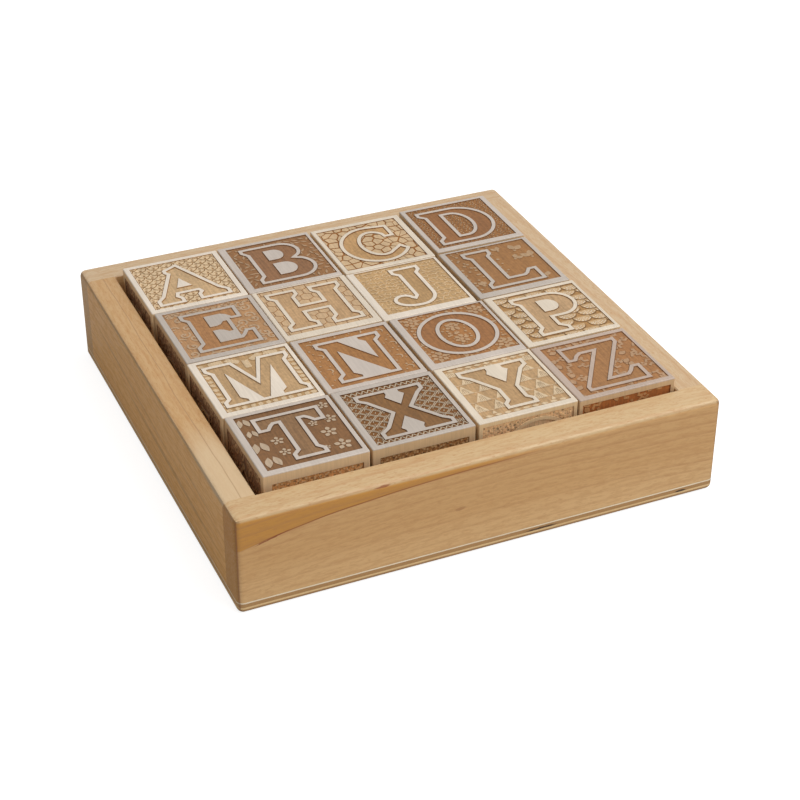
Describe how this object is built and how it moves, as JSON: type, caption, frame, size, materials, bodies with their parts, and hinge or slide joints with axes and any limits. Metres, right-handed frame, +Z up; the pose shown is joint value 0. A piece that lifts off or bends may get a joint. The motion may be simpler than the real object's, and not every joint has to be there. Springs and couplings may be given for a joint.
{
  "type": "tray of alphabet blocks",
  "caption": "Square maple tray with a plywood base, holding loose wooden cubes in rows, each engraved with a capital letter inside a raised outline on a patterned panel.",
  "frame": {"origin": "middle of the tray's underside", "axes": "+Z up, +X to the right along the front wall, +Y to the back wall"},
  "size_m": [0.2144, 0.2144, 0.0506],
  "materials": {
    "tray_maple": "honey-coloured maple, oiled satin",
    "face_veneer": "pale veneer",
    "cross_ply": "brown ply with end grain and small voids",
    "centre_ply": "tan ply",
    "dowel_beech": "plain beech",
    "brad_steel": "plain wire steel",
    "block_maple": "bare sanded maple with panels burnt to tan and brown"
  },
  "bodies": {
    "tray": {"tray_front_wall": "tray_maple", "tray_back_wall": "tray_maple", "tray_left_wall": "tray_maple", "tray_right_wall": "tray_maple", "base_face_veneer_top": "face_veneer", "base_cross_ply_upper": "cross_ply", "base_centre_ply": "centre_ply", "base_cross_ply_lower": "cross_ply", "base_face_veneer_bottom": "face_veneer", "corner_dowels": "dowel_beech", "base_brads": "brad_steel"},
    "block_a_body": {"block_a": "block_maple"},
    "block_b_body": {"block_b": "block_maple"},
    "block_c_body": {"block_c": "block_maple"},
    "block_d_body": {"block_d": "block_maple"},
    "block_e_body": {"block_e": "block_maple"},
    "block_h_body": {"block_h": "block_maple"},
    "block_j_body": {"block_j": "block_maple"},
    "block_l_body": {"block_l": "block_maple"},
    "block_m_body": {"block_m": "block_maple"},
    "block_n_body": {"block_n": "block_maple"},
    "block_o_body": {"block_o": "block_maple"},
    "block_p_body": {"block_p": "block_maple"},
    "block_t_body": {"block_t": "block_maple"},
    "block_x_body": {"block_x": "block_maple"},
    "block_y_body": {"block_y": "block_maple"},
    "block_z_body": {"block_z": "block_maple"}
  },
  "joints": [
    {"name": "block_a_lift", "type": "slide", "parent": "tray", "child": "block_a_body", "axis": [0, 0, 1], "range_m": [0, 0.0475]},
    {"name": "block_b_lift", "type": "slide", "parent": "tray", "child": "block_b_body", "axis": [0, 0, 1], "range_m": [0, 0.0475]},
    {"name": "block_c_lift", "type": "slide", "parent": "tray", "child": "block_c_body", "axis": [0, 0, 1], "range_m": [0, 0.0475]},
    {"name": "block_d_lift", "type": "slide", "parent": "tray", "child": "block_d_body", "axis": [0, 0, 1], "range_m": [0, 0.0475]},
    {"name": "block_e_lift", "type": "slide", "parent": "tray", "child": "block_e_body", "axis": [0, 0, 1], "range_m": [0, 0.0475]},
    {"name": "block_h_lift", "type": "slide", "parent": "tray", "child": "block_h_body", "axis": [0, 0, 1], "range_m": [0, 0.0475]},
    {"name": "block_j_lift", "type": "slide", "parent": "tray", "child": "block_j_body", "axis": [0, 0, 1], "range_m": [0, 0.0475]},
    {"name": "block_l_lift", "type": "slide", "parent": "tray", "child": "block_l_body", "axis": [0, 0, 1], "range_m": [0, 0.0475]},
    {"name": "block_m_lift", "type": "slide", "parent": "tray", "child": "block_m_body", "axis": [0, 0, 1], "range_m": [0, 0.0475]},
    {"name": "block_n_lift", "type": "slide", "parent": "tray", "child": "block_n_body", "axis": [0, 0, 1], "range_m": [0, 0.0475]},
    {"name": "block_o_lift", "type": "slide", "parent": "tray", "child": "block_o_body", "axis": [0, 0, 1], "range_m": [0, 0.0475]},
    {"name": "block_p_lift", "type": "slide", "parent": "tray", "child": "block_p_body", "axis": [0, 0, 1], "range_m": [0, 0.0475]},
    {"name": "block_t_lift", "type": "slide", "parent": "tray", "child": "block_t_body", "axis": [0, 0, 1], "range_m": [0, 0.0475]},
    {"name": "block_x_lift", "type": "slide", "parent": "tray", "child": "block_x_body", "axis": [0, 0, 1], "range_m": [0, 0.0475]},
    {"name": "block_y_lift", "type": "slide", "parent": "tray", "child": "block_y_body", "axis": [0, 0, 1], "range_m": [0, 0.0475]},
    {"name": "block_z_lift", "type": "slide", "parent": "tray", "child": "block_z_body", "axis": [0, 0, 1], "range_m": [0, 0.0475]}
  ]
}
